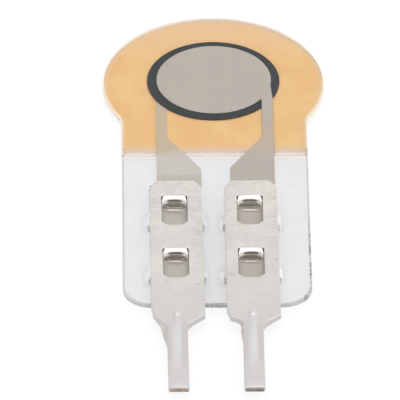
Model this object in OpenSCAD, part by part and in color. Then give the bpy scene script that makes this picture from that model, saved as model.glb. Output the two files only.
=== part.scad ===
// Thin-film force sensing resistor with a round head and two clinched solder terminals.
// It lies on its back: +Z leaves the printed face, +Y runs to the round head, and the
// origin is the middle of the head on the rear face of the release liner.

/* [Film] */
// Diameter of the round head
head_d = 7.62; // [7:0.01:9]
// How far each side of the straight tail is set in from the head
tail_inset = 0.635; // [0.4:0.005:0.9]
// Distance from the middle of the head to the end of the tail
tail_reach = 12.63; // [12:0.01:13]
// Radius of the tail's two corners
tail_corner_r = 1; // [0.2:0.05:1.5]
// Radius of the fillets where the head meets the tail
neck_r = 1; // [0.3:0.05:2]
// Thickness of each of the two films
film_t = 0.05; // [0.04:0.005:0.08]

/* [Prints] */
// Thickness of each printed layer
ink_t = 0.0125; // [0.01:0.0005:0.02]
// Diameter of the silver disc
disc_d = 3.96; // [3.6:0.01:4.6]
// How far the sensing ink reaches past the silver disc
ink_margin = 0.31; // [0.1:0.005:0.5]
// Sideways shift of the silver print on the film
print_dx = 0.02; // [-0.1:0.01:0.1]
// Shift of the silver disc from the middle of the head towards the top
print_dy = 0.23; // [-0.2:0.01:0.3]
// Sideways shift of the sensing ink on the silver disc
ink_dx = -0.02; // [-0.08:0.01:0.08]
// Lengthways shift of the sensing ink on the silver disc
ink_dy = -0.05; // [-0.08:0.01:0.08]
// Width of a trace
trace_w = 0.375; // [0.3:0.005:0.6]
// Length over which a trace's outer edge leaves the disc
trace_lead = 1.1; // [0.6:0.05:1.4]
// Distance from the middle of the head to the start of a trace's flare
flare_start = 3.1; // [2.9:0.05:3.6]
// Length of the flare between trace and pad
flare_len = 1.8; // [1.2:0.05:2.2]
// Radius of the rounded corners of the flare
flare_r = 0.4; // [0.1:0.05:0.6]
// Width of a pad
pad_w = 1.525; // [1.3:0.005:1.8]
// How far a pad's middle lies inside its tab's middle
pad_in = 0.02; // [0:0.005:0.1]
// Distance from a pad's lower end to the end of the tail
pad_inset = 0.6; // [0.3:0.05:1]

/* [Adhesives and liner] */
// Gap between the sensing ink and the spacer around it
spacer_gap = 0.1; // [0.05:0.01:0.3]
// Thickness of the mounting adhesive
glue_t = 0.025; // [0.02:0.005:0.06]
// Thickness of the release liner
liner_t = 0.05; // [0.04:0.005:0.1]
// Distance from the middle of the head to the liner's straight lower edge
liner_reach = 3.8; // [3.6:0.01:4.6]
// How far the mounting adhesive reaches past the liner's lower edge
glue_lip = 0.12; // [0:0.01:0.3]

/* [Terminals] */
// Distance between the two solder tabs, centre to centre
pitch = 2.54; // [2.4:0.01:2.8]
// Thickness of the sheet metal
sheet_t = 0.2; // [0.15:0.01:0.25]
// Width of a terminal's plate
plate_w = 1.8; // [1.7:0.01:2]
// Distance from the middle of the head to the plate's far edge
plate_start = 5.95; // [5.6:0.01:6.2]
// Length of the plate, from its far edge to its shoulders
plate_len = 7.5; // [7.3:0.01:7.8]
// How far the plate's middle lies beside the tab's middle
plate_offset = 0.04; // [0:0.01:0.1]
// Width of the chamfers on the far corners
corner_w = 0.25; // [0.1:0.01:0.35]
// Length of the chamfers on the far corners
corner_len = 0.37; // [0.1:0.01:0.5]
// Width of the clipped left shoulder
clip_w = 0.08; // [0.02:0.01:0.15]
// Length of the clipped left shoulder
clip_len = 0.4; // [0.1:0.01:0.6]
// Length of the sloping shoulders
shoulder_len = 0.55; // [0.3:0.01:0.8]
// Radius between the shoulders and the tab
shoulder_r = 0.6; // [0.2:0.05:0.8]
// Small corner radius of the blank
blank_r = 0.06; // [0.02:0.01:0.1]
// Width of a solder tab
tab_w = 0.68; // [0.5:0.01:0.9]
// Length of a solder tab, from the shoulders to its cut end
tab_len = 3.95; // [3:0.05:6]
// Sideways shift of the pair of terminals on the film
pair_dx = -0.12; // [-0.15:0.01:0.15]
// Turn of the left terminal on the film
left_turn = 0.38; // [-0.5:0.01:0.5]
// Turn of the right terminal on the film
right_turn = 0.1; // [-0.5:0.01:0.5]

/* [Windows and lances] */
// Width of a window
window_w = 0.87; // [0.7:0.01:0.9]
// Length of a window, from the lance's root to the near edge
window_len = 1.66; // [1.3:0.01:1.8]
// Distance from the plate's far edge to the first lance's root
window_start = 0.83; // [0.7:0.01:1]
// Distance between the two windows of a terminal
window_pitch = 2.95; // [2.8:0.01:3.1]
// Size of the chamfers on a window's near corners
window_cut = 0.19; // [0.05:0.01:0.3]
// Gap on each side of a lance in its window
lance_gap = 0.02; // [0.01:0.005:0.04]
// Inner bend radius at a lance's root
lance_r = 0.02; // [0.01:0.005:0.06]
// Flat length of a lance's tip, clinched behind the film
lance_flat = 0.58; // [0.4:0.01:0.7]

/* [Side tines] */
// Width of a side tine
tine_w = 0.55; // [0.4:0.01:0.7]
// Distance from a lance's root to the middle of the side tines beside it
tine_back = 1.22; // [1:0.01:1.5]
// How far a side tine stands out beside the plate
tine_bulge = 0.08; // [0.03:0.01:0.12]
// Inner bend radius at a side tine's root
tine_r = 0.08; // [0.05:0.01:0.12]
// Flat length of a side tine's tip, clinched behind the film
tine_flat = 0.4; // [0.25:0.01:0.45]
// Inner bend radius of every clinch
clinch_r = 0.03; // [0.02:0.005:0.04]
// Width cut from each side of a pierced tip
tip_cut = 0.13; // [0.05:0.01:0.18]
// Length of the cuts on a pierced tip
tip_len = 0.2; // [0.1:0.01:0.25]
// Clearance of the films around every tine
slot_gap = 0.02; // [0.01:0.005:0.04]

/* [Rib] */
// Radius of the rib pressed into each tab
rib_r = 0.16; // [0.1:0.01:0.2]
// Height of the rib at its upper end
rib_h = 0.06; // [0.03:0.005:0.08]
// How far the rib starts above the shoulders
rib_lead = 0.06; // [-0.1:0.01:0.3]
// Length over which the rib fades out
rib_len = 2.7; // [1.5:0.05:2.9]

/* [Hidden] */

$fn = 96;
// Degrees between the points of a computed arc
arc_step = 3;
// Left and right, as signs along X
LEFT = -1;
RIGHT = 1;

// Width of the straight tail
tail_w = head_d - 2 * tail_inset;

// Levels of the layers, from the liner up
rear_z = liner_t + glue_t;
bottom_print_z = rear_z + film_t;
bottom_ink_z = bottom_print_z + ink_t;
top_ink_z = bottom_ink_z + ink_t;
top_print_z = top_ink_z + ink_t;
top_film_z = top_print_z + ink_t;
front_z = top_film_z + film_t;
spacer_t = top_film_z - bottom_print_z;
stack_t = front_z - rear_z;

// Printed shapes
disc_r = disc_d / 2;
ink_r = disc_r + ink_margin;
trace_out_x = (pitch + pad_w) / 2 - pad_in;
pad_end = tail_reach - pad_inset;

// Terminal blank, about the tab's centre line
plate_left = plate_offset - plate_w / 2;
plate_right = plate_offset + plate_w / 2;
shoulder_y = -(plate_start + plate_len);
plate_top_z = front_z + sheet_t;
lance_w = window_w - 2 * lance_gap;
lance_reach = lance_r + sheet_t;
lance_roots = [for (i = [0, 1]) -(plate_start + window_start + i * window_pitch)];
tine_bend_x = plate_w / 2 + tine_bulge - tine_r - sheet_t;

// Unit vector along v
function unit(v) = v / norm(v);

// Points of an arc about c, from angle a to angle b
function arc(c, r, a, b) =
    let (n = max(1, ceil(abs(b - a) / arc_step)))
    [for (i = [0:n]) c + r * [cos(a + (b - a) * i / n), sin(a + (b - a) * i / n)]];

// Points that round the corner at b, between a and c, to radius r
function rounded_corner(a, b, c, r) =
    let (
        u = unit(a - b),
        v = unit(c - b),
        half = acos(u * v) / 2,
        centre = b + unit(u + v) * r / sin(half),
        from = b + u * r / tan(half) - centre,
        to = b + v * r / tan(half) - centre,
        start = atan2(from.y, from.x),
        turn = atan2(from.x * to.y - from.y * to.x, from * to)
    )
    arc(centre, r, start, start + turn);

// Outline through corners given as [x, y, radius], where radius 0 keeps the corner sharp
function rounded_outline(corners) =
    let (
        n = len(corners),
        at = [for (p = corners) [p.x, p.y]]
    )
    [
        for (i = [0:n - 1])
        let (before = at[(i + n - 1) % n], after = at[(i + 1) % n], r = corners[i][2])
        each (r > 0 ? rounded_corner(before, at[i], after, r) : [at[i]])
    ];

// Outline of both films: round head, fillets at the neck, straight tail
module film_outline() {
    head_r = head_d / 2;
    half_w = tail_w / 2;
    neck_x = half_w + neck_r;
    neck_y = -sqrt(pow(head_r + neck_r, 2) - pow(neck_x, 2));
    neck_a = atan2(-neck_y, neck_x);
    corner_x = half_w - tail_corner_r;
    corner_y = tail_corner_r - tail_reach;
    polygon(concat(
        arc([0, 0], head_r, -neck_a, 180 + neck_a),
        arc([-neck_x, neck_y], neck_r, neck_a, 0),
        arc([-corner_x, corner_y], tail_corner_r, 180, 270),
        arc([corner_x, corner_y], tail_corner_r, 270, 360),
        arc([neck_x, neck_y], neck_r, 180, 180 - neck_a)
    ));
}

// The head and neck, down to a straight lower edge
module head_outline(reach) {
    intersection() {
        film_outline();
        translate([-head_d, -reach]) square(2 * head_d);
    }
}

// Silver disc with its trace, flare and pad, on the given side
module electrode_outline(side) {
    translate([print_dx, 0]) mirror([side == LEFT ? 1 : 0, 0]) {
        translate([0, print_dy]) circle(r = disc_r);
        polygon(rounded_outline([
            [disc_r / 2, print_dy, 0],
            [trace_out_x - trace_w, -disc_r / 2, 0],
            [trace_out_x - trace_w, -flare_start, flare_r],
            [trace_out_x - pad_w, -(flare_start + flare_len), flare_r],
            [trace_out_x - pad_w, -pad_end, 0],
            [trace_out_x, -pad_end, 0],
            [trace_out_x, print_dy - trace_lead, 0],
            [disc_r - trace_w / 4, print_dy + trace_w, 0]
        ]));
    }
}

// Round patch of sensing ink, or the hole around it when grow is above 0
module ink_outline(grow = 0) {
    translate([print_dx + ink_dx, print_dy + ink_dy]) circle(r = ink_r + grow);
}

// Puts a terminal, or what is cut for it, where it is clinched
module clinched(side) {
    middle_y = -(plate_start + plate_len / 2);
    translate([side * pitch / 2 + pair_dx, middle_y])
        rotate(side == LEFT ? left_turn : right_turn)
        translate([0, -middle_y]) children();
}

// Slots through the layers where the lances and side tines pass
module tine_slots() {
    for (side = [LEFT, RIGHT]) clinched(side) for (root = lance_roots) {
        translate([-lance_w / 2 - slot_gap, root - lance_reach - slot_gap])
            square([lance_w + 2 * slot_gap, lance_reach + 2 * slot_gap]);
        for (s = [LEFT, RIGHT])
            translate([
                plate_offset + s * (tine_bend_x + (tine_r + sheet_t) / 2),
                root - tine_back
            ])
            square([tine_r + sheet_t + 2 * slot_gap, tine_w + 2 * slot_gap], center = true);
    }
}

// One flat layer of the stack, pierced for the terminals
module layer(z, t) {
    translate([0, 0, z]) linear_extrude(t) difference() {
        children();
        tine_slots();
    }
}

// Sheet bent square about the origin with inner radius r, from angle a to a + 90
module bend(r, a) {
    rotate(a) intersection() {
        difference() {
            circle(r = r + sheet_t);
            circle(r = r);
        }
        square(r + 2 * sheet_t);
    }
}

// A tine of width w bent down at its root and clinched back behind the films. The root is
// at x = 0 and the tine leaves it along +X. The sheet's lower face is at z = 0.
module formed_tine(w, root_r, flat) {
    leg = max(stack_t - root_r - clinch_r, 0.005);
    clinch_x = root_r - clinch_r;
    clinch_z = -root_r - leg;
    tip_x = clinch_x - flat;
    out_x = root_r + sheet_t;
    intersection() {
        rotate([90, 0, 0]) translate([0, 0, -w / 2]) linear_extrude(w) {
            translate([0, -root_r]) bend(root_r, 0);
            translate([root_r, clinch_z]) square([sheet_t, leg]);
            translate([clinch_x, clinch_z]) bend(clinch_r, -90);
            translate([tip_x, clinch_z - clinch_r - sheet_t]) square([flat, sheet_t]);
        }
        translate([0, 0, -1]) linear_extrude(2) polygon([
            [tip_x, tip_cut - w / 2],
            [tip_x + tip_len, -w / 2],
            [out_x, -w / 2],
            [out_x, w / 2],
            [tip_x + tip_len, w / 2],
            [tip_x, w / 2 - tip_cut]
        ]);
    }
}

// Window in the plate, from the lance's root to its chamfered near edge
module window(root) {
    half = window_w / 2;
    near = root - window_len;
    polygon([
        [-half, root],
        [-half, near + window_cut],
        [window_cut - half, near],
        [half - window_cut, near],
        [half, near + window_cut],
        [half, root]
    ]);
}

// Flat blank of plate, shoulders and tab, with its windows and the roots of its side tines
module blank_outline() {
    tine_root_w = plate_w / 2 - tine_bend_x + blank_r;
    tab_y = shoulder_y - shoulder_len;
    difference() {
        polygon(rounded_outline([
            [plate_left + corner_w, -plate_start, blank_r],
            [plate_left, -plate_start - corner_len, blank_r],
            [plate_left, shoulder_y + clip_len, blank_r],
            [plate_left + clip_w, shoulder_y, blank_r],
            [-tab_w / 2, tab_y, shoulder_r],
            [-tab_w / 2, shoulder_y - tab_len, 0],
            [tab_w / 2, shoulder_y - tab_len, 0],
            [tab_w / 2, tab_y, shoulder_r],
            [plate_right, shoulder_y, blank_r],
            [plate_right, -plate_start - corner_len, blank_r],
            [plate_right - corner_w, -plate_start, blank_r]
        ]));
        for (root = lance_roots) {
            window(root);
            for (s = [LEFT, RIGHT])
                translate([plate_offset + s * (tine_bend_x + tine_root_w / 2), root - tine_back])
                square([tine_root_w, tine_w], center = true);
        }
    }
}

// Pressed rib with a round start, which sinks into the tab as it runs towards the end
module rib() {
    start_y = shoulder_y + rib_lead;
    translate([0, start_y, plate_top_z + rib_h - rib_r])
        rotate([90 + atan(rib_h / rib_len), 0, 0]) {
            cylinder(r = rib_r, h = rib_len);
            sphere(r = rib_r);
        }
}

// Stamped terminal: blank, lances, side tines and rib
module terminal() {
    mid_z = front_z + sheet_t / 2;
    difference() {
        union() {
            translate([0, 0, front_z]) linear_extrude(sheet_t) blank_outline();
            intersection() {
                rib();
                translate([-tab_w / 2, shoulder_y - tab_len, mid_z]) cube([tab_w, 2 * tab_len, sheet_t]);
            }
            for (root = lance_roots) {
                translate([0, root, front_z]) rotate(-90) formed_tine(lance_w, lance_r, lance_flat);
                for (s = [LEFT, RIGHT])
                    translate([plate_offset, root - tine_back, front_z])
                    mirror([s == LEFT ? 1 : 0, 0, 0])
                    translate([tine_bend_x, 0, 0]) formed_tine(tine_w, tine_r, tine_flat);
            }
        }
        translate([0, 0, -sheet_t]) rib();
    }
}

module release_liner() {
    color([0.86, 0.66, 0.44]) linear_extrude(liner_t) head_outline(liner_reach);
}

module mounting_adhesive() {
    color([0.93, 0.86, 0.72, 0.6]) translate([0, 0, liner_t])
        linear_extrude(glue_t) head_outline(liner_reach + glue_lip);
}

module bottom_film() {
    color([0.93, 0.93, 0.95, 0.5]) layer(rear_z, film_t) film_outline();
}

module bottom_electrode() {
    color([0.79, 0.75, 0.7]) layer(bottom_print_z, ink_t) electrode_outline(LEFT);
}

module bottom_sensing_ink() {
    color([0.2, 0.21, 0.22]) layer(bottom_ink_z, ink_t) ink_outline();
}

module spacer_adhesive() {
    color([0.95, 0.95, 0.93, 0.4]) difference() {
        layer(bottom_print_z, spacer_t) difference() {
            film_outline();
            ink_outline(spacer_gap);
        }
        layer(bottom_print_z, ink_t) electrode_outline(LEFT);
        layer(top_print_z, ink_t) electrode_outline(RIGHT);
    }
}

module top_sensing_ink() {
    color([0.2, 0.21, 0.22]) layer(top_ink_z, ink_t) ink_outline();
}

module top_electrode() {
    color([0.74, 0.71, 0.67]) layer(top_print_z, ink_t) electrode_outline(RIGHT);
}

module top_film() {
    color([0.93, 0.93, 0.95, 0.5]) layer(top_film_z, film_t) film_outline();
}

module left_terminal() {
    color([0.85, 0.84, 0.82]) clinched(LEFT) terminal();
}

module right_terminal() {
    color([0.85, 0.84, 0.82]) clinched(RIGHT) terminal();
}

release_liner();
mounting_adhesive();
bottom_film();
bottom_electrode();
bottom_sensing_ink();
spacer_adhesive();
top_sensing_ink();
top_electrode();
top_film();
left_terminal();
right_terminal();
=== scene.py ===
import math

import bmesh
import bpy
from mathutils import Matrix, Vector, noise
from mathutils.geometry import delaunay_2d_cdt


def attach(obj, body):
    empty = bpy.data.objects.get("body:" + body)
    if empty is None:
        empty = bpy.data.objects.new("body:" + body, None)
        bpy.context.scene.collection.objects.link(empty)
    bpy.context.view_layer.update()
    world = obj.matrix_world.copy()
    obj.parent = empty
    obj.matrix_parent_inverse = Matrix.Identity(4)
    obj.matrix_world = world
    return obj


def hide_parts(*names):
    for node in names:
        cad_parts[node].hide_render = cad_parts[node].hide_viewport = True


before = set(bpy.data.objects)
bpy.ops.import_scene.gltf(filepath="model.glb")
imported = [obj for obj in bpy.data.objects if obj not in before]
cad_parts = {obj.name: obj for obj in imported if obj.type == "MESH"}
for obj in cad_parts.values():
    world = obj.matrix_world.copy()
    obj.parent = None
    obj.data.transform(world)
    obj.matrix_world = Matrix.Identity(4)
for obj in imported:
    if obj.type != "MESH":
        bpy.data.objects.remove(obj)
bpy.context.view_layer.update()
MM = 0.001
MERGE = 2e-7  # metres within which vertices are one

# Sizes of the CAD part, in millimetres
HEAD_D, TAIL_INSET, TAIL_REACH, TAIL_CORNER_R, NECK_R = 7.62, 0.635, 12.63, 1.0, 1.0
FRONT, SHEET, PITCH = 0.225, 0.2, 2.54
PLATE_W, PLATE_START, PLATE_LEN, PLATE_OFFSET = 1.8, 5.95, 7.5, 0.04
TAB_W, TAB_LEN, PAIR_DX = 0.68, 3.95, -0.12
TURN = {-1: 0.38, 1: 0.1}
WINDOW_W, WINDOW_LEN, WINDOW_START, WINDOW_PITCH, WINDOW_CUT = 0.87, 1.66, 0.83, 2.95, 0.19
LANCE_W, LANCE_R, LANCE_FLAT = 0.87, 0.02, 0.58
TINE_W, TINE_BACK, TINE_BULGE, TINE_R, TINE_FLAT = 0.55, 1.22, 0.08, 0.08, 0.4
CLINCH_R, TIP_CUT, TIP_LEN = 0.03, 0.13, 0.2
STACK = 0.15

# Shapes that only the scene has, in millimetres
RIB_LEAD, RIB_LEN, RIB_HALF_W, RIDGE_H = 0.06, 2.7, 0.2, 0.035
DOT_R, DOT_H = 0.17, 0.045
RIB_START = 0.16  # from the rib's start to where the ridge is highest
ROLL = 0.03  # rounding of the sheet's upper edges
FOOT = 0.012  # chamfer at the foot of the sheared walls
WAVE_Y, WAVE_FADE, WAVE_H = -4.3, 2.0, 0.012  # the tail's slight wave: start, fade-in, height
LIP_DIP, LIP_REACH, LIP_HALF_W = 0.1, 0.19, 0.47  # the film's dip in front of a lance
LIP_LIGHT = (0.33, 0.25)  # where a painted highlight lies on the lip, before the upper and lower lances
LIGHT_BAND, LIGHT_HALF_W = (-0.01, 0.09), 0.4  # start and end of that painted highlight, from there on
FOOT_SHADE, FOOT_HALF_W = (-0.05, 0.1), 0.45  # painted shade at the lance's foot
LIP_SHADE, SHADE_HALF_W = 0.15, 0.32  # length of the painted shade between the foot and the painted highlight
LINER_SHOW, LINER_DROP = 0.12, 0.09  # height of the liner's front, drop of its lower edge
GLUE_Y = -3.92  # the films' edge shows the liner's warm colour above this
GLUE_REACH = 0.17  # how much further the adhesive's lip reaches; partly painted light, a pale sheet over the liner's shadow
WET_Y = -4.21  # end of the adhesive behind the film; it reaches this far partly as painted light over the liner's shadow
TAIL_BAND, HEAD_BAND = 0.07, 0.035  # width of the cut edge as seen through the film's face
EDGE_NEAR = 0.01  # from the outline to that band
RIM_R, RIM_X, RIM_Y = 3.6, 3.1, -3.0  # inside these the faces are no part of the rim
FLOOR_Z, FLOOR_HALF = -0.127, 600.0
CAMERA_SIDE = (0.0, -0.914, 0.407)

# How far the left shoulder's sheared wall stands out at its foot: (y, distance), by terminal
FLARES = {
    -1: [(-13.52, 0.0), (-13.8, 0.1), (-14.08, 0.17), (-14.42, 0.13), (-14.76, 0.05), (-15.1, 0.0)],
    1: [(-13.55, 0.0), (-13.9, 0.05), (-14.2, 0.07), (-14.6, 0.03), (-14.95, 0.0)],
}

LANCE_ROOTS = [-(PLATE_START + WINDOW_START + i * WINDOW_PITCH) for i in (0, 1)]
SHOULDER_Y = -(PLATE_START + PLATE_LEN)
TAB_END_Y = SHOULDER_Y - TAB_LEN
TINE_BEND_X = PLATE_W / 2 + TINE_BULGE - TINE_R - SHEET


# ---------------------------------------------------------------- camera
def make_camera():
    """The photograph's viewpoint, fitted to the head's ellipse and the tail's edges."""
    e, az, roll = 0.64051, -0.0125185, 0.0024886
    target = Vector((-0.5325, -6.8061, FRONT))
    distance, sensor, focal_pixels, image_pixels = 298.07, 36, 8788, 400
    back = Vector((math.sin(az) * math.cos(e), -math.cos(az) * math.cos(e), math.sin(e)))
    right = Vector((math.cos(az), math.sin(az), 0))
    up = back.cross(right)
    c, s = math.cos(roll), math.sin(roll)
    r2, u2 = c * right + s * up, c * up - s * right
    m = Matrix.Identity(4)
    for i, axis in enumerate((r2, u2, back)):
        m.col[i][:3] = axis
    m.col[3][:3] = (target + back * distance) * MM
    data = bpy.data.cameras.new("camera")
    data.sensor_width = sensor
    data.lens = sensor * focal_pixels / image_pixels
    data.clip_start, data.clip_end = 0.02, 5
    camera = bpy.data.objects.new("camera", data)
    bpy.context.scene.collection.objects.link(camera)
    camera.matrix_world = m
    bpy.context.scene.camera = camera


# ---------------------------------------------------------------- materials
class Nodes:
    """Short calls for building a material's nodes."""

    def __init__(self, name):
        self.material = bpy.data.materials.new(name)
        self.material.use_nodes = True
        self.tree = self.material.node_tree
        self.shader = self.tree.nodes["Principled BSDF"]
        self.place = self.tree.nodes.new("ShaderNodeTexCoord").outputs["Object"]

    def new(self, kind, **inputs):
        node = self.tree.nodes.new("ShaderNode" + kind)
        for key, value in inputs.items():
            socket = node.inputs[key.replace("_", " ")]
            if hasattr(value, "links"):
                self.tree.links.new(value, socket)
            else:
                socket.default_value = value
        return node

    def noise(self, size, stretch=(1, 1, 1), detail=3, rough=0.6, shift=(0, 0, 0)):
        """Noise from 0 to 1 with features of about size millimetres, times stretch."""
        scale = [1 / (size * MM * s) for s in stretch]
        at = self.new("Mapping", Vector=self.place, Scale=scale, Location=shift).outputs[0]
        node = self.new("TexNoise", Vector=at, Scale=1.0, Detail=detail, Roughness=rough)
        return node.outputs[0]

    def ramp(self, value, low, high, a=0.0, b=1.0):
        """value from low..high to a..b, smoothly; low may be above high."""
        node = self.new("MapRange", Value=value)
        node.interpolation_type = "SMOOTHSTEP"
        for key, number in (("From Min", low), ("From Max", high), ("To Min", a), ("To Max", b)):
            node.inputs[key].default_value = number
        return node.outputs[0]

    def math(self, operation, a, b=0.0):
        node = self.tree.nodes.new("ShaderNodeMath")
        node.operation = operation
        for socket, value in zip(node.inputs, (a, b)):
            if hasattr(value, "links"):
                self.tree.links.new(value, socket)
            else:
                socket.default_value = value
        return node.outputs[0]

    def mix(self, factor, a, b):
        """Colour from a to b."""
        node = self.tree.nodes.new("ShaderNodeMix")
        node.data_type = "RGBA"
        for key, value in ((0, factor), (6, a), (7, b)):
            if hasattr(value, "links"):
                self.tree.links.new(value, node.inputs[key])
            elif key == 0:
                node.inputs[key].default_value = value
            else:
                node.inputs[key].default_value = (*value, 1)
        return node.outputs[2]

    def apart(self, value, centre):
        """Distance of value from centre, which is in millimetres."""
        return self.math("ABSOLUTE", self.math("SUBTRACT", value, centre * MM))

    def coordinates(self):
        """The place's X, Y and Z."""
        return self.new("SeparateXYZ", Vector=self.place).outputs

    def off_axis(self, at):
        """Distance across from the axis of the nearest terminal."""
        return self.apart(self.apart(at["X"], PAIR_DX), PITCH / 2)

    def beside(self, y0, y1):
        """Distances across from the nearest terminal's axis and along from the nearer of y0, y1."""
        at = self.coordinates()
        along = self.apart(self.apart(at["Y"], (y0 + y1) / 2), abs(y0 - y1) / 2)
        return self.off_axis(at), along

    def bump(self, height, depth, strength=1.0):
        """Bump of depth millimetres from a height of 0 to 1."""
        node = self.new("Bump", Height=height, Distance=depth * MM, Strength=strength)
        self.tree.links.new(node.outputs[0], self.shader.inputs["Normal"])

    def set(self, **values):
        """Sets or links the shader's inputs."""
        for key, value in values.items():
            socket = self.shader.inputs[key.replace("_", " ")]
            if hasattr(value, "links"):
                self.tree.links.new(value, socket)
            elif isinstance(value, tuple) and len(value) == 3:
                socket.default_value = (*value, 1)
            else:
                socket.default_value = value


def srgb(r, g, b):
    """Linear colour from display levels, all above 10."""
    return tuple(((v / 255 + 0.055) / 1.055) ** 2.4 for v in (r, g, b))


def liner_material():
    """Tan paper, mottled, paler at its far rim and outline, and greyer at its lower edge."""
    n = Nodes("liner_paper")
    cloud = n.noise(1.3, detail=4, rough=0.55)
    fine = n.noise(0.22, detail=3)
    a = n.mix(n.ramp(cloud, 0.36, 0.64), srgb(217, 171, 115), srgb(221, 184, 127))
    b = n.mix(n.ramp(fine, 0.3, 0.7), srgb(213, 169, 118), srgb(223, 183, 128))
    at = n.coordinates()
    far = n.ramp(at["Y"], 1.2 * MM, 3.6 * MM, 0.0, 0.85)
    c = n.mix(far, n.mix(0.3, a, b), srgb(217, 182, 141))
    squares = n.math("ADD", n.math("POWER", at["X"], 2.0), n.math("POWER", at["Y"], 2.0))
    head_rim = n.ramp(n.math("POWER", squares, 0.5), 3.6 * MM, 3.78 * MM)
    neck_rim = n.ramp(n.math("ABSOLUTE", at["X"]), 3.02 * MM, 3.14 * MM)
    head = n.math("MULTIPLY", n.ramp(at["Y"], -2.15 * MM, -1.85 * MM), head_rim)
    neck = n.math("MULTIPLY", n.ramp(at["Y"], -1.85 * MM, -2.15 * MM), neck_rim)
    d = n.mix(n.math("MULTIPLY", n.math("MAXIMUM", neck, head), 0.8), c, srgb(219, 196, 165))
    low = n.ramp(at["Y"], -3.4 * MM, -3.95 * MM)
    n.set(Base_Color=n.mix(low, d, srgb(208, 182, 159)), Roughness=0.7, Specular_IOR_Level=0.2)
    n.bump(n.noise(0.1, detail=4), 0.004)
    return n.material


def edge_paper_material():
    """The liner's cut edge, with its fibres, near white: partly its own pale colour, partly painted
    light that lifts the shade on it.
    """
    n = Nodes("liner_edge_painted_light")
    fibre = n.ramp(n.noise(0.05, detail=3), 0.3, 0.7)
    n.set(Base_Color=n.mix(fibre, srgb(250, 240, 228), srgb(255, 247, 238)))
    n.set(Roughness=0.8, Specular_IOR_Level=0.2)
    return n.material


def ink_material(name, colours, steps):
    """Silver ink: colours from the head down, changing at (y, softness), mostly where its back
    changes; lighter under the plates, as painted light against their shade.
    """
    n = Nodes(name)
    black = (0.0, 0.0, 0.0)
    grain = n.noise(0.09, detail=3)
    cloud = n.noise(0.9, detail=3)
    y = n.coordinates()["Y"]
    colour = colours[0]
    for (at, soft), following in zip(steps, colours[1:]):
        colour = n.mix(n.ramp(y, (at + soft) * MM, (at - soft) * MM), colour, following)
    speckled = n.mix(n.ramp(grain, 0.3, 0.7, 0.0, 0.06), colour, black)
    n.set(Base_Color=n.mix(n.ramp(cloud, 0.3, 0.7, 0.0, 0.04), speckled, black))
    n.set(Roughness=0.55, Metallic=0.15, Specular_IOR_Level=0.35)
    n.bump(grain, 0.003, 0.15)
    return n.material


def carbon_material():
    """Black sensing ink, finely grained."""
    n = Nodes("carbon_ink")
    grain = n.noise(0.04, detail=2)
    n.set(Base_Color=n.mix(n.ramp(grain, 0.3, 0.7), srgb(31, 34, 36), srgb(44, 47, 49)))
    n.set(Roughness=0.6, Specular_IOR_Level=0.25)
    n.bump(grain, 0.003, 0.5)
    return n.material


def film_material(name, tint, alpha, rough, worn=0.0, tine_patch_shade=0.0):
    """Clear plastic. worn is how dense its scuffs are, and turns on painted shade between the
    terminals;
    the last argument sets a painted grey patch round the side tines: painted shade on the film that
    also lightens the darker shade on their legs."""
    n = Nodes(name)
    cloud = n.noise(2.2, detail=2)
    scuff = n.noise(0.5, stretch=(1, 3, 1), detail=3)
    n.set(Base_Color=n.mix(n.ramp(cloud, 0.3, 0.7), tint, tuple(v * 0.97 for v in tint)))
    n.set(Roughness=n.ramp(scuff, 0.35, 0.7, rough, rough + 0.12), Alpha=alpha)
    if worn:
        scratch = n.noise(0.1, stretch=(5, 1, 1), detail=3, shift=(5, 8, 0))
        marks = n.ramp(scratch, 0.66, 0.78, 0.0, worn)
        uneven = n.noise(0.7, stretch=(1, 2, 1), detail=4)
        haze = n.ramp(uneven, 0.3, 0.7, alpha - 0.015, alpha + 0.015)
        at = n.coordinates()
        # painted shade: the film is darker between the terminals, more so towards the tail's end
        middle = n.ramp(n.apart(at["X"], PAIR_DX), 0.7 * MM, 0.35 * MM)
        painted_shade_between = n.math("MULTIPLY", middle, n.ramp(at["Y"], -4.8 * MM, -10.5 * MM, 0.0, 0.085))
        n.set(Alpha=n.math("ADD", n.math("ADD", haze, marks), painted_shade_between))
    # a painted grey patch round the side tines: painted shade on the film that also lightens the
    # darker shade on their legs
    if tine_patch_shade:
        from_axis, along = n.beside(*[root - TINE_BACK - 0.16 for root in LANCE_ROOTS])
        across = n.ramp(n.apart(from_axis, 0.97), 0.26 * MM, 0.0)
        tine_patch_mask = n.math("MULTIPLY", across, n.ramp(along, 0.7 * MM, 0.1 * MM))
        n.set(Alpha=n.math("ADD", n.math("MULTIPLY", tine_patch_mask, tine_patch_shade), alpha))
        n.set(Base_Color=n.mix(tine_patch_mask, tint, srgb(214, 215, 218)))
    return n.material


def edge_material(name, tint, alpha):
    """Cut edge of the films, soiled at the tail's end: on its right, and between the terminals."""
    n = Nodes(name)
    at = n.coordinates()
    right = n.ramp(at["X"], 2.6 * MM, 3.1 * MM)
    middle = n.ramp(n.apart(at["X"], PAIR_DX), 0.7 * MM, 0.3 * MM, 0.0, 0.6)
    low = n.ramp(at["Y"], -7.0 * MM, -9.5 * MM)
    where = n.math("MULTIPLY", n.math("MAXIMUM", right, middle), low)
    soil = n.ramp(n.noise(0.16, detail=3, shift=(3, 1, 0)), 0.4, 0.62)
    dirt = n.math("MULTIPLY", soil, where)
    n.set(Base_Color=n.mix(dirt, tint, srgb(88, 86, 84)), Roughness=0.3)
    n.set(Alpha=n.math("ADD", n.math("MULTIPLY", dirt, 0.9 - alpha), alpha))
    return n.material


def lip_y(root, distance):
    """The y that is distance in front of the face of the lance with this root."""
    return root - SHEET - LANCE_R - distance


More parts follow.
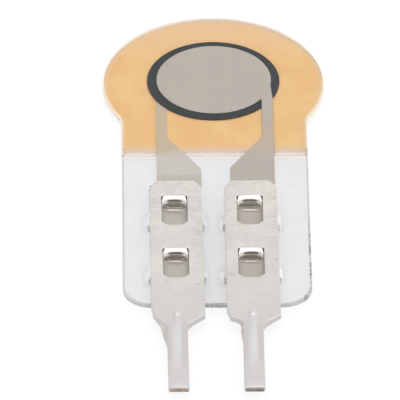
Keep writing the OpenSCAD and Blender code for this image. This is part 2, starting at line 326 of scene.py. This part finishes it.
def lip_material():
    """A painted highlight on the film's lip in front of each lance."""
    n = Nodes("clear_film_lip_painted_highlight")
    centre = sum(LIGHT_BAND) / 2
    middles = [lip_y(root, bright + centre) for root, bright in zip(LANCE_ROOTS, LIP_LIGHT)]
    across, along = n.beside(*middles)
    width = n.ramp(across, 0.34 * MM, 0.12 * MM)
    highlight_mask = n.math("MULTIPLY", width, n.ramp(along, 0.055 * MM, 0.02 * MM))
    n.set(Base_Color=srgb(250, 244, 238), Roughness=0.12)
    n.set(Alpha=n.math("ADD", n.math("MULTIPLY", highlight_mask, 0.6), 0.03))
    return n.material


def tin_material(name, rough, grain_depth, wear):
    """Tin plating: soft clouds, fine cross-wise brushing and a few scratches; wear from 0 to 1.
    The tab's rib has a painted highlight along its ridge and painted shade on its flanks."""
    n = Nodes(name)
    cloud = n.noise(0.6, detail=4, rough=0.65)
    warm = n.noise(1.9, detail=2, shift=(7, 3, 0))
    speck = n.noise(0.11, stretch=(1.6, 1, 1), detail=3, shift=(4, 1, 0))
    streaks = n.noise(0.045, stretch=(14, 1, 1), detail=3)
    lines = n.noise(0.03, stretch=(1, 30, 1), detail=2, shift=(2, 9, 0))
    scars = n.noise(0.09, stretch=(5, 1, 1), detail=4, rough=0.7, shift=(1, 6, 0))
    patch = n.noise(1.1, detail=2, shift=(3, 5, 0))
    at = n.coordinates()
    from_axis = n.off_axis(at)
    near_edge = n.ramp(from_axis, 0.45 * MM, 0.85 * MM)
    on_plate = n.ramp(at["Y"], -12.6 * MM, -11.0 * MM)
    dirt = n.math("MULTIPLY", n.math("ADD", near_edge, 0.25), on_plate)
    a = n.mix(n.ramp(warm, 0.35, 0.65), srgb(214, 210, 204), srgb(208, 202, 200))
    b = n.mix(n.ramp(cloud, 0.35, 0.65, 0.0, 0.6), a, srgb(196, 194, 189))
    c = n.mix(n.ramp(speck, 0.5, 0.72, 0.0, 0.5 * wear), b, srgb(178, 175, 170))
    worn = n.math("MULTIPLY", n.ramp(scars, 0.55, 0.68, 0.0, wear), n.ramp(patch, 0.4, 0.6))
    worn = n.math("MULTIPLY", worn, dirt)
    d = n.mix(n.ramp(at["Y"], -11.0 * MM, -14.2 * MM), c, srgb(199, 196, 195))
    # painted shade on the rib's flanks and a painted highlight along its ridge
    flank_shade_mask = n.ramp(from_axis, 0.05 * MM, 0.22 * MM)
    rib_top = n.ramp(at["Y"], -13.3 * MM, -14.4 * MM)
    pressed = n.math("MULTIPLY", rib_top, n.ramp(at["Y"], -16.9 * MM, -15.3 * MM))
    e = n.mix(n.math("MULTIPLY", pressed, flank_shade_mask), d, srgb(195, 190, 187))
    ridge = n.math("MULTIPLY", pressed, n.ramp(flank_shade_mask, 1.0, 0.0))
    f = n.mix(ridge, e, srgb(206, 205, 206))
    n.set(Base_Color=n.mix(worn, f, srgb(146, 142, 136)), Metallic=1.0)
    n.set(Roughness=n.ramp(cloud, 0.3, 0.7, rough, rough + 0.08))
    grain = n.math("ADD", n.math("MULTIPLY", streaks, 0.75), n.math("MULTIPLY", lines, 0.25))
    n.bump(grain, grain_depth, 0.5)
    return n.material


def tine_material():
    """The side tines, duller than the plate, in pale grey without a metal's sheen: painted light
    that lifts the shade on them.
    """
    n = Nodes("tine_painted_light")
    cloud = n.ramp(n.noise(0.2, detail=3), 0.35, 0.65)
    n.set(Base_Color=n.mix(cloud, srgb(226, 226, 225), srgb(234, 234, 232)), Roughness=0.5)
    n.bump(n.noise(0.05, detail=3), 0.004)
    return n.material


def cut_material(name, dark, light):
    """Bare metal of a tab's cut end, with the plating smeared over its upper edge."""
    n = Nodes(name)
    cloud = n.noise(0.12, stretch=(2, 1, 1), detail=3)
    height = n.math("ADD", n.coordinates()["Z"], n.math("MULTIPLY", cloud, 0.06 * MM))
    smear = n.ramp(height, 0.36 * MM, 0.44 * MM)
    bare = n.mix(n.ramp(cloud, 0.3, 0.7), dark, light)
    n.set(Base_Color=n.mix(smear, bare, srgb(200, 194, 190)), Metallic=0.8, Roughness=0.45)
    n.bump(n.noise(0.03, stretch=(1, 1, 6), detail=2), 0.004)
    return n.material


# ---------------------------------------------------------------- mesh helpers
class Build:
    """Collects a piece's vertices, in millimetres, and its faces."""

    def __init__(self):
        self.verts, self.faces, self.slots = [], [], []

    def add(self, verts, faces, slot=0):
        base = len(self.verts)
        self.verts += [tuple(v) for v in verts]
        self.faces += [tuple(i + base for i in f) for f in faces]
        self.slots += [slot] * len(faces)

    def rings(self, rings, slot=0, cap=False):
        """Quads between closed rings of as many points each; cap closes both ends."""
        n = len(rings[0])
        faces = []
        for k in range(len(rings) - 1):
            for i in range(n):
                j = (i + 1) % n
                faces.append((k * n + i, k * n + j, (k + 1) * n + j, (k + 1) * n + i))
        if cap:
            faces.append(tuple(range(n))[::-1])
            faces.append(tuple((len(rings) - 1) * n + i for i in range(n)))
        self.add([p for ring in rings for p in ring], faces, slot)

    def make(self, name, materials, place=Matrix.Identity(4)):
        mesh = bpy.data.meshes.new(name)
        mesh.from_pydata([(place @ Vector(v)) * MM for v in self.verts], [], self.faces)
        dress(mesh, materials, self.slots)
        b = bmesh.new()
        b.from_mesh(mesh)
        bmesh.ops.remove_doubles(b, verts=b.verts, dist=MERGE)
        bmesh.ops.recalc_face_normals(b, faces=b.faces)
        b.to_mesh(mesh)
        b.free()
        smooth(mesh, 35)
        return new_object(name, mesh)


def dress(mesh, materials, slots):
    """Gives a mesh its materials, with each face's slot."""
    mesh.materials.clear()
    for material in materials:
        mesh.materials.append(material)
    mesh.polygons.foreach_set("material_index", slots)


def smooth(mesh, sharp):
    """Smooth shading, apart from edges of more than sharp degrees."""
    mesh.polygons.foreach_set("use_smooth", [True] * len(mesh.polygons))
    mesh.set_sharp_from_angle(angle=math.radians(sharp))
    mesh.update()


def new_object(name, mesh):
    o = bpy.data.objects.new(name, mesh)
    bpy.context.scene.collection.objects.link(o)
    return o


def arc(c, r, a, b, step=4):
    """Points on an arc from angle a to b, in degrees."""
    n = max(1, math.ceil(abs(b - a) / step))
    angles = [math.radians(a + (b - a) * i / n) for i in range(n + 1)]
    return [Vector((c[0] + r * math.cos(t), c[1] + r * math.sin(t))) for t in angles]


def rounded(corners):
    """Closed outline through corners given as (x, y, radius)."""
    out = []
    for i, (x, y, r) in enumerate(corners):
        b = Vector((x, y))
        if not r:
            out.append(b)
            continue
        u = (Vector(corners[i - 1][:2]) - b).normalized()
        v = (Vector(corners[(i + 1) % len(corners)][:2]) - b).normalized()
        half = math.acos(max(-1, min(1, u.dot(v)))) / 2
        c = b + (u + v).normalized() * r / math.sin(half)
        p, q = b + u * r / math.tan(half) - c, b + v * r / math.tan(half) - c
        start = math.degrees(math.atan2(p.y, p.x))
        turn = math.degrees(math.atan2(p.x * q.y - p.y * q.x, p.dot(q)))
        out += arc(c, r, start, start + turn, 10)
    return out


def inset(loop, d):
    """Each point of a loop moved to its left, which is inwards on a counter-clockwise one."""
    out = []
    for i, q in enumerate(loop):
        a = (q - loop[i - 1]).normalized()
        b = (loop[(i + 1) % len(loop)] - q).normalized()
        na, nb = Vector((-a.y, a.x)), Vector((-b.y, b.x))
        out.append(q + (na + nb) * d / max(0.3, 1 + na.dot(nb)))
    return out


def divided(loop, longest):
    """The same loop with points added where they are further apart than longest."""
    out = []
    for i, p in enumerate(loop):
        q = loop[(i + 1) % len(loop)]
        n = max(1, math.ceil((q - p).length / longest))
        out += [p.lerp(q, k / n) for k in range(n)]
    return out


def inside(p, loop):
    """Whether a point is inside a loop."""
    hit = False
    for i, b in enumerate(loop):
        a = loop[i - 1]
        if (a.y > p.y) != (b.y > p.y) and p.x < (b.x - a.x) * (p.y - a.y) / (b.y - a.y) + a.x:
            hit = not hit
    return hit


def fill(outer, holes, extra=()):
    """Triangles inside outer and outside holes, through extra points: (points, faces)."""
    points, edges = [], []
    for loop in [outer, *holes]:
        base = len(points)
        points += list(loop)
        edges += [(base + i, base + (i + 1) % len(loop)) for i in range(len(loop))]
    points += [p for p in extra if inside(p, outer) and not any(inside(p, h) for h in holes)]
    verts, _, faces, *_ = delaunay_2d_cdt([Vector(p[:2]) for p in points], edges, [], 0, 1e-6)
    kept = []
    for f in faces:
        c = (verts[f[0]] + verts[f[1]] + verts[f[2]]) / 3
        if inside(c, outer) and not any(inside(c, h) for h in holes):
            kept.append(tuple(f))
    return verts, kept


# ---------------------------------------------------------------- films and prints
def clinched(side):
    """Where a terminal drawn on the Y axis stands, turned a little about its plate's middle."""
    mid = -(PLATE_START + PLATE_LEN / 2)
    turn = Matrix.Rotation(math.radians(TURN[side]), 4, "Z")
    there = Matrix.Translation((side * PITCH / 2 + PAIR_DX, mid, 0))
    return there @ turn @ Matrix.Translation((0, -mid, 0))


UNCLINCH = {side: clinched(side).inverted() for side in (-1, 1)}


def lances(x, y):
    """For every lance: how far this place is in front of its face, how far across from its axis,
    and where its lip is bright."""
    for side in (-1, 1):
        p = UNCLINCH[side] @ Vector((x, y, 0))
        for root, bright in zip(LANCE_ROOTS, LIP_LIGHT):
            yield root - p.y - (SHEET + LANCE_R), abs(p.x), bright


def film_rise(x, y):
    """How far the films rise from their flat place: a slight wave along the tail, and a lip that
    is drawn down in front of every lance."""
    rise = 0.0
    if y < WAVE_Y:
        fade = min(1, (WAVE_Y - y) / WAVE_FADE)
        rise += fade * WAVE_H * noise.noise(Vector((x * 0.5, y * 0.33, 3.1)))
    for u, across, _ in lances(x, y):
        if across <= LIP_HALF_W and -0.3 < u < 0.9:
            share = math.cos(across / LIP_HALF_W * math.pi / 2) ** 1.5
            rise -= share * LIP_DIP * math.exp(-((max(0, u) / LIP_REACH) ** 2))
    return rise


def lip(x, y):
    """Which painted patch of the film's dip before a lance this place is on: "shade", "light" or
    None.
    """
    for u, across, bright in lances(x, y):
        if bright + LIGHT_BAND[0] <= u < bright + LIGHT_BAND[1] and across < LIGHT_HALF_W:
            return "light"
        if FOOT_SHADE[0] < u < FOOT_SHADE[1] and across < FOOT_HALF_W:
            return "shade"
        if bright - LIP_SHADE < u < bright and across < SHADE_HALF_W:
            return "shade"
    return None


def rim(x, y):
    """Which edge this place is on: "head" or "tail" of the outline, or None inside it."""
    corner_x, corner_y = HEAD_D / 2 - TAIL_INSET - TAIL_CORNER_R, TAIL_CORNER_R - TAIL_REACH
    from_corner = math.hypot(max(0, abs(x) - corner_x), y - corner_y)
    if math.hypot(x, y) < RIM_R:
        return None
    if RIM_Y > y > corner_y and abs(x) < RIM_X:
        return None
    if y <= corner_y and from_corner < TAIL_CORNER_R - TAIL_BAND:
        return None
    return "head" if y > GLUE_Y else "tail"


def pick_film(x, y, wall):
    """Slots of the top film and the spacer: 0 clear, 1 tail's edge, 2 head's edge, 3 painted
    highlight on the lip, 4 painted shade."""
    if wall:
        return {"head": 2, "tail": 1, None: 0}[rim(x, y)]
    return {"light": 3, "shade": 4, None: 0}[lip(x, y)]


def pick_back(x, y, wall):
    """Slots of the bottom film: 0 clear, 1 tail's edge, 2 head's edge, 3 where adhesive wets it."""
    if wall:
        return {"head": 2, "tail": 1, None: 3}[rim(x, y)]
    return 3 if y > WET_Y else 0


def grid_cuts():
    """Where the flat layers are cut along x and y: a plain grid, finer at the lances' lips."""
    xs = [-3.6 + 0.3 * i for i in range(25)]
    ys = [-12.5 + 0.3 * i for i in range(28)] + [WET_Y]
    for side in (-1, 1):
        xs += [side * PITCH / 2 + PAIR_DX - 0.44 + 0.08 * i for i in range(12)]
    for root, bright in zip(LANCE_ROOTS, LIP_LIGHT):
        ys += [root - 0.17 - 0.05 * i for i in range(15)]
        ys += [lip_y(root, bright + end) for end in LIGHT_BAND]
    across, along = Vector((1, 0, 0)), Vector((0, 1, 0))
    return [(across, x) for x in sorted(xs)] + [(along, y) for y in sorted(ys)]


def lower_edge(points, distance):
    """Moves the vertices at the lowest y down by distance millimetres."""
    end = min(v.co.y for v in points) + 0.01 * MM
    for v in points:
        if v.co.y < end:
            v.co.y -= distance * MM


def relay(node, name, materials, cuts, faces="both", pick=None, reach=0.0):
    """A copy of a flat CAD layer, cut to a fine grid and bent with the films. pick(x, y, wall)
    gives a face's material. A clear layer keeps only the faces that show, so that light has few
    surfaces to pass. reach moves its lower edge outwards."""
    slim = 0.001  # taken off each face, so that layers do not share a plane
    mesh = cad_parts[node].data.copy()
    mesh.name = name
    b = bmesh.new()
    b.from_mesh(mesh)
    bmesh.ops.remove_doubles(b, verts=b.verts, dist=MERGE)
    bmesh.ops.dissolve_limit(b, angle_limit=0.001, verts=b.verts, edges=b.edges)
    for normal, at in cuts:
        geom = b.verts[:] + b.edges[:] + b.faces[:]
        co = normal * at * MM
        bmesh.ops.bisect_plane(b, geom=geom, plane_co=co, plane_no=normal, dist=1e-8)
    b.normal_update()
    if reach:
        lower_edge(b.verts, reach)
    low = min(v.co.z for v in b.verts)
    high = max(v.co.z for v in b.verts)
    for v in b.verts:
        v.co.z += slim * MM if v.co.z < (low + high) / 2 else -slim * MM
        v.co.z += film_rise(v.co.x / MM, v.co.y / MM) * MM
    hidden = {"both": (), "top": (-1,), "bottom": (1,), "sides": (-1, 1)}[faces]
    gone = [f for f in b.faces if any(f.normal.z * way > 0.3 for way in hidden)]
    bmesh.ops.delete(b, geom=gone, context="FACES")
    slots = []
    for f in b.faces:
        c = f.calc_center_median() / MM
        slots.append(pick(c.x, c.y, abs(f.normal.z) < 0.3) if pick else 0)
    b.to_mesh(mesh)
    b.free()
    dress(mesh, materials, slots)
    smooth(mesh, 40)
    return new_object(name, mesh)


def thick_liner(name, materials):
    """The liner, with its front as near the film's face as the plastic's refraction shows it."""
    shrink = 0.999  # keeps its wall off the adhesive's
    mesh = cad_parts["release_liner"].data.copy()
    mesh.name = name
    lower_edge(mesh.vertices, LINER_DROP)
    for v in mesh.vertices:
        if v.co.z > 0.02 * MM:
            v.co.z = LINER_SHOW * MM
        v.co.x *= shrink
        v.co.y *= shrink
    dress(mesh, materials, [1 if abs(f.normal.z) < 0.5 else 0 for f in mesh.polygons])
    mesh.update()
    return new_object(name, mesh)


def film_outline():
    """The films' outline: round head, necks, and straight tail with round corners."""
    head_r, half_w = HEAD_D / 2, HEAD_D / 2 - TAIL_INSET
    neck_x = half_w + NECK_R
    neck_y = -math.sqrt((head_r + NECK_R) ** 2 - neck_x**2)
    a = math.degrees(math.atan2(-neck_y, neck_x))
    cx, cy = half_w - TAIL_CORNER_R, TAIL_CORNER_R - TAIL_REACH
    loop = arc((0, 0), head_r, -a, 180 + a)
    loop += arc((-neck_x, neck_y), NECK_R, a, 0)[1:]
    loop += arc((-cx, cy), TAIL_CORNER_R, 180, 270)
    loop += arc((cx, cy), TAIL_CORNER_R, 270, 360)
    loop += arc((neck_x, neck_y), NECK_R, 180, 180 - a)[:-1]
    return divided(loop, 0.3)


def cut_edge(name, z, materials):
    """The cut edge of a film, seen through its face as a narrow band, wider along the tail."""
    loop = film_outline()
    b = Build()
    near = inset(loop, EDGE_NEAR)
    far = [inset(loop, TAIL_BAND), inset(loop, HEAD_BAND)]
    for i, p in enumerate(loop):
        j = (i + 1) % len(loop)
        slot = 1 if p.y > GLUE_Y else 0
        ring = [near[i], near[j], far[slot][j], far[slot][i]]
        b.add([(q.x, q.y, z + film_rise(q.x, q.y)) for q in ring], [(0, 1, 2, 3)], slot)
    return b.make(name, materials)


# ---------------------------------------------------------------- terminals
def blank(side):
    """Outline of the plate, its shoulders and the tab."""
    left, right = PLATE_OFFSET - PLATE_W / 2, PLATE_OFFSET + PLATE_W / 2
    top, top_side = -PLATE_START, -PLATE_START - 0.37
    top_cut, top_r, end_r = 0.25, 0.18, 0.08
    tab, tab_end = TAB_W / 2, TAB_W / 2 + 0.01
    tab_y = SHOULDER_Y - 0.55
    if side < 0:
        shoulder = [
            (left, SHOULDER_Y + 0.4, 0.1),
            (left + 0.08, SHOULDER_Y, 0.06),
            (-tab - 0.02, tab_y, 0.5),
        ]
    else:
        shoulder = [
            (left, SHOULDER_Y + 0.3, 0.1),
            (left + 0.11, SHOULDER_Y - 0.12, 0.08),
            (-tab, SHOULDER_Y - 0.3, 0.34),
        ]
    return rounded([
        (left + top_cut, top, top_r),
        (left, top_side, top_r),
        *shoulder,
        (-tab_end, TAB_END_Y, end_r),
        (tab_end, TAB_END_Y, end_r),
        (tab, tab_y, 0.6),
        (right, SHOULDER_Y, 0.06),
        (right, top_side, top_r),
        (right - top_cut, top, top_r),
    ])


def flare(side, p):
    """How far the left shoulder's sheared wall stands out at its foot."""
    steps = FLARES[side]
    if p.x > -0.25:
        return Vector((0, 0))
    for (y0, d0), (y1, d1) in zip(steps, steps[1:]):
        if y1 <= p.y <= y0:
            t = (y0 - p.y) / (y0 - y1)
            return Vector((-(d0 + (d1 - d0) * t), 0))
    return Vector((0, 0))


def window(root):
    """Outline of the window whose lance is bent down at root; its near corners are cut off."""
    half, near = WINDOW_W / 2, root - WINDOW_LEN
    far_r, near_r = 0.12, 0.05
    return rounded([
        (-half, root, far_r),
        (half, root, far_r),
        (half, near + WINDOW_CUT, near_r),
        (half - WINDOW_CUT, near, near_r),
        (WINDOW_CUT - half, near, near_r),
        (-half, near + WINDOW_CUT, near_r),
    ])


def rib_rise(x, y):
    """Height of the pressed rib above the tab: a raised dot at its start, then a ridge that fades
    out towards the tab's end."""
    along = SHOULDER_Y + RIB_LEAD + RIB_START - y
    if not 0 < along < RIB_LEN + RIB_START or abs(x) > RIB_HALF_W:
        return 0.0
    start = min(1, along / 0.24)
    height = RIDGE_H * start**2 * (3 - 2 * start) * (1 - max(0, along - RIB_START) / RIB_LEN)
    dot = max(0, 1 - math.hypot(x, along - 0.15) ** 2 / DOT_R**2) ** 1.5
    return height * math.cos(min(1, abs(x) / RIB_HALF_W) * math.pi / 2) ** 2 + DOT_H * dot


def strip(b, place, width, root_r, flat, spread, waist, edge, slot):
    """A tine: the sheet bent down at its root, through the films and clinched back behind them.
    spread is how much rounder the bend is at its long edges than at its middle, waist how much
    narrower each side is where the bend starts, and edge the chamfer along its sides."""
    leg = max(STACK - root_r - CLINCH_R, 0.005)
    outer_r = root_r + SHEET
    path = [(-ROLL, 0.0, 0.0)]
    for i in range(16):
        t = math.radians(6 * i)
        path.append((outer_r * math.sin(t), outer_r * (math.cos(t) - 1), t))
    x, z = path[-1][:2]
    path.append((x, z - leg, math.pi / 2))
    z -= leg
    r2 = CLINCH_R + SHEET
    for i in range(1, 11):
        t = math.radians(9 * i)
        path.append((x - r2 * (1 - math.cos(t)), z - r2 * math.sin(t), math.pi / 2 + t))
    x, z = path[-1][:2]
    path += [(x - flat + TIP_LEN, z, math.pi), (x - flat, z, math.pi)]
    bend_end, soft = 17, edge * 0.3
    rings = []
    for k, (x, z, t) in enumerate(path):
        half = width / 2 - (TIP_CUT if k == len(path) - 1 else 0) - waist * max(0, 1 - t / 1.2) ** 2
        sin, cos = math.sin(t), math.cos(t)
        section = [(-half + edge + (2 * half - 2 * edge) * j / 16, 0.0) for j in range(17)]
        section += [(half - soft, soft), (half, edge), (half, SHEET - edge), (half - edge, SHEET)]
        section += [(edge - half, SHEET), (-half, SHEET - edge), (-half, edge), (soft - half, soft)]
        ring = []
        for v, d in section:
            e = spread * abs(v / half) ** 3 * (1 - d / SHEET) if k < bend_end else 0.0
            ring.append(place @ Vector((x - sin * d + e * sin, v, z - cos * d - e * (1 - cos))))
        rings.append(ring)
    b.rings(rings, slot, cap=True)


def sheared_walls(b, side, loops):
    """The blank's walls: chamfered foot, flared shoulder and rounded upper edge."""
    for loop in loops:
        foot = [p + flare(side, p) for p in loop]
        rings = [[(p.x, p.y, 0.0) for p in inset(foot, FOOT)], [(p.x, p.y, FOOT) for p in foot]]
        for degrees in (0, 22.5, 45, 67.5, 90):
            t = math.radians(degrees)
            z = SHEET - ROLL * (1 - math.sin(t))
            rings.append([(p.x, p.y, z) for p in inset(loop, ROLL * (1 - math.cos(t)))])
        b.rings(rings, 1)
    flare_start, flare_end = FLARES[side][0][0], FLARES[side][-1][0]
    for i, f in enumerate(b.faces):
        xs, ys, zs = zip(*[b.verts[k] for k in f])
        if max(ys) < TAB_END_Y + FOOT and max(zs) < SHEET - ROLL * 0.2:
            b.slots[i] = 2
        elif max(xs) < -0.3 and flare_end < min(ys) and max(ys) < flare_start:
            b.slots[i] = 0


def face_points():
    """Points over the terminal's upper face: a plain grid, a finer one over the rib, and rings
    round the dot at its start."""
    left, width, across = -0.85, 1.78, 19
    top, length, along = -PLATE_START - 0.06, 7.6, 88
    grid = []
    for i in range(across):
        for j in range(along):
            x = left + width * i / (across - 1)
            grid.append(Vector((x, top - length * j / (along - 1))))
    rib_left, rib_top, cell_x, cell_y = -0.24, -13.18, 0.03, 0.05
    for i in range(17):
        for j in range(60):
            grid.append(Vector((rib_left + cell_x * i, rib_top - cell_y * j)))
    dot = Vector((0, SHOULDER_Y + RIB_LEAD + 0.01))
    grid = [p for p in grid if (p - dot).length > DOT_R]
    grid.append(dot)
    for i in range(1, 9):
        for k in range(20):
            t = math.tau * k / 20
            grid.append(dot + 0.02 * i * Vector((math.cos(t), math.sin(t))))
    return grid


def terminal(side, materials):
    """Stamped terminal: slots 0 satin sheet, 1 polished bends and sheared edges, 2 bare cut end,
    3 side tines."""
    b = Build()
    outer = divided(blank(side), 0.12)
    holes = [window(root) for root in LANCE_ROOTS]
    sheared_walls(b, side, [outer, *holes])
    points, faces = fill(inset(outer, ROLL), [inset(h, ROLL) for h in holes], face_points())
    tops = [(p.x, p.y, SHEET + rib_rise(p.x, p.y)) for p in points]
    for f in faces:
        b.add([tops[k] for k in f], [(0, 1, 2)], 0)
    under = inset([p + flare(side, p) for p in outer], FOOT)
    points, faces = fill(under, [inset(h, FOOT) for h in holes])
    b.add([(p.x, p.y, 0.0) for p in points], [f[::-1] for f in faces], 0)
    for root in LANCE_ROOTS:
        down = Matrix.Translation((0, root, SHEET)) @ Matrix.Rotation(-math.pi / 2, 4, "Z")
        strip(b, down, LANCE_W, LANCE_R, LANCE_FLAT, spread=0.2, waist=0.07, edge=0.02, slot=1)
        for s, turn in ((-1, math.pi), (1, 0)):
            start = (PLATE_OFFSET + s * TINE_BEND_X, root - TINE_BACK, SHEET - 0.004)
            out = Matrix.Translation(start) @ Matrix.Rotation(turn, 4, "Z")
            strip(b, out, TINE_W, TINE_R, TINE_FLAT, spread=0.0, waist=0.0, edge=0.05, slot=3)
    place = clinched(side) @ Matrix.Translation((0, 0, FRONT))
    name = {-1: "left", 1: "right"}[side] + "_terminal_sheet"
    return b.make(name, materials, place)


# ---------------------------------------------------------------- stage
def make_floor():
    """Pale paper, which looks white to the camera and in reflections, and keeps the shadow."""
    mesh = bpy.data.meshes.new("floor")
    half, z = FLOOR_HALF * MM, FLOOR_Z * MM
    corners = [(-half, -half, z), (half, -half, z), (half, half, z), (-half, half, z)]
    mesh.from_pydata(corners, [], [(0, 1, 2, 3)])
    n = Nodes("floor_paper")
    n.set(Base_Color=(0.95, 0.95, 0.95), Roughness=0.9, Specular_IOR_Level=0.0)
    rays = n.new("LightPath").outputs
    seen = n.math("MAXIMUM", rays["Is Camera Ray"], rays["Is Glossy Ray"])
    seen = n.math("MAXIMUM", seen, rays["Is Transmission Ray"])
    white = n.new("Emission", Color=(1, 1, 1, 1), Strength=1.0)
    mixed = n.new("MixShader", Fac=n.math("MULTIPLY", seen, 0.85))
    n.tree.links.new(n.shader.outputs[0], mixed.inputs[1])
    n.tree.links.new(white.outputs[0], mixed.inputs[2])
    n.tree.links.new(mixed.outputs[0], n.tree.nodes["Material Output"].inputs[0])
    mesh.materials.append(n.material)
    new_object("floor", mesh)


def map_range(tree, value, low, high, a, b, interpolation="LINEAR"):
    """value from low..high to a..b, in the world's nodes."""
    node = tree.nodes.new("ShaderNodeMapRange")
    node.interpolation_type = interpolation
    tree.links.new(value, node.inputs[0])
    for key, number in (("From Min", low), ("From Max", high), ("To Min", a), ("To Max", b)):
        node.inputs[key].default_value = number
    return node.outputs[0]


def make_world():
    """Soft light by height, a little stronger from the right, with a darker area where the
    photograph was taken from."""
    world = bpy.data.worlds.new("studio")
    bpy.context.scene.world = world
    world.use_nodes = True
    tree = world.node_tree
    background = tree.nodes["Background"].inputs
    place = tree.nodes.new("ShaderNodeTexCoord").outputs["Generated"]
    split = tree.nodes.new("ShaderNodeSeparateXYZ")
    tree.links.new(place, split.inputs[0])
    ramp = tree.nodes.new("ShaderNodeValToRGB")
    tree.links.new(split.outputs["Z"], ramp.inputs[0])
    # (height of the direction, level); the levels are divided here and made up by the strength
    scale = 2.0
    stops = [
        (0.0, 2.2), (0.14, 1.5), (0.25, 1.05), (0.6, 0.92), (0.75, 1.25), (0.9, 1.7), (1.0, 1.8),
    ]
    for k, (at, level) in enumerate(stops):
        e = ramp.color_ramp.elements[k] if k < 2 else ramp.color_ramp.elements.new(at)
        e.position, e.color = at, (level / scale,) * 3 + (1,)
    tree.links.new(ramp.outputs[0], background["Color"])
    side = map_range(tree, split.outputs["X"], -1.0, 1.0, scale * 0.84, scale * 1.16)
    toward = tree.nodes.new("ShaderNodeVectorMath")
    toward.operation = "DOT_PRODUCT"
    tree.links.new(place, toward.inputs[0])
    toward.inputs[1].default_value = CAMERA_SIDE
    dark = map_range(tree, toward.outputs["Value"], 0.84, 0.95, 1.02, 0.22, "SMOOTHSTEP")
    level = tree.nodes.new("ShaderNodeMath")
    level.operation = "MULTIPLY"
    tree.links.new(side, level.inputs[0])
    tree.links.new(dark, level.inputs[1])
    tree.links.new(level.outputs[0], background["Strength"])
    bpy.context.scene.view_settings.view_transform = "Standard"
    bpy.context.scene.view_settings.look = "None"


# ---------------------------------------------------------------- pieces
def declare(o, slot, *nodes):
    """Every piece rides on the one body; nodes are what it replaces."""
    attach(o, "root")
    if nodes:
        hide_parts(*nodes)


def add_layers():
    """The liner, the adhesives, the films and the silver prints."""
    paper, paper_edge = liner_material(), edge_paper_material()
    # the adhesive and the wetted film are pale, partly painted light over the liner's shadow below
    # its edge
    glue = film_material("clear_adhesive", srgb(228, 213, 202), 0.9, 0.4)
    film = film_material("clear_film", srgb(150, 149, 160), 0.04, 0.12, tine_patch_shade=0.5)
    back = film_material("clear_film_back", srgb(150, 149, 158), 0.235, 0.12, worn=0.2)
    wet = film_material("clear_film_wetted", srgb(225, 204, 190), 0.06, 0.12)
    lit = lip_material()
    shade = film_material("clear_film_painted_shade", srgb(128, 112, 88), 0.3, 0.12)
    tail_edge = edge_material("film_cut_edge", srgb(168, 169, 172), 0.75)
    tail_band = edge_material("film_edge_band", srgb(160, 161, 164), 0.5)
    head_edge = film_material("film_cut_edge_head", srgb(246, 233, 214), 0.75, 0.3)
    clear = film_material("spacer_adhesive", srgb(220, 220, 220), 0.04, 0.3)
    # where the silver passes the neck, the liner's edge and the plates' upper edge; beyond the last
    # it is painted lighter, painted light against the plates' shade
    neck, liner_end, painted_light_under_plates = (-2.3, 0.5), (-4.0, 0.35), (-5.92, 0.05)
    tan, pale = srgb(181, 165, 149), srgb(174, 166, 155)
    top_colours = [pale, tan, pale, srgb(179, 172, 163)]
    top_silver = ink_material("silver_ink", top_colours, [neck, liner_end, painted_light_under_plates])
    low_colours = [
        srgb(187, 169, 146), srgb(191, 185, 178), srgb(181, 175, 167), srgb(185, 179, 170),
    ]
    low_steps = [liner_end, (-5.26, 0.07), painted_light_under_plates]
    low_silver = ink_material("silver_ink_under", low_colours, low_steps)

    cuts = grid_cuts()
    declare(thick_liner("release_liner_sheet", [paper, paper_edge]), "liner_paper", "release_liner")

    def layer(node, name, slot, materials, faces="both", **options):
        declare(relay(node, name, materials, cuts, faces, **options), slot, node)

    adhesive, plastic, silver = "clear_adhesive", "clear_film", "silver_ink"
    edges = [tail_edge, head_edge]
    under, over = [back, *edges, wet], [film, *edges, lit, shade]
    layer("mounting_adhesive", "mounting_adhesive_layer", adhesive, [glue], "top", reach=GLUE_REACH)
    layer("bottom_film", "bottom_film_sheet", plastic, under, "bottom", pick=pick_back)
    layer("bottom_electrode", "bottom_electrode_print", silver, [low_silver])
    spacer = [clear, *edges]
    layer("spacer_adhesive", "spacer_adhesive_layer", adhesive, spacer, "sides", pick=pick_film)
    layer("top_electrode", "top_electrode_print", silver, [top_silver])
    layer("top_film", "top_film_sheet", plastic, over, "top", pick=pick_film)
    declare(cut_edge("film_cut_band", FRONT + 0.001, [tail_band, head_edge]), plastic)


def add_terminals():
    """The two stamped terminals, whose cut ends differ."""
    satin = tin_material("tinned_metal", 0.34, 0.012, 0.7)
    polished = tin_material("tinned_metal_polished", 0.1, 0.002, 0.2)
    tine = tine_material()
    cut_left = cut_material("cut_end_left", srgb(154, 130, 114), srgb(182, 168, 159))
    cut_right = cut_material("cut_end_right", srgb(122, 110, 106), srgb(152, 143, 142))
    for side, node, cut in ((-1, "left_terminal", cut_left), (1, "right_terminal", cut_right)):
        declare(terminal(side, [satin, polished, cut, tine]), "tinned_metal", node)


def main():
    make_camera()
    make_floor()
    make_world()
    carbon = carbon_material()
    for node in ("bottom_sensing_ink", "top_sensing_ink"):
        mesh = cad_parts[node].data
        mesh.materials.clear()
        mesh.materials.append(carbon)
    add_layers()
    add_terminals()


main()
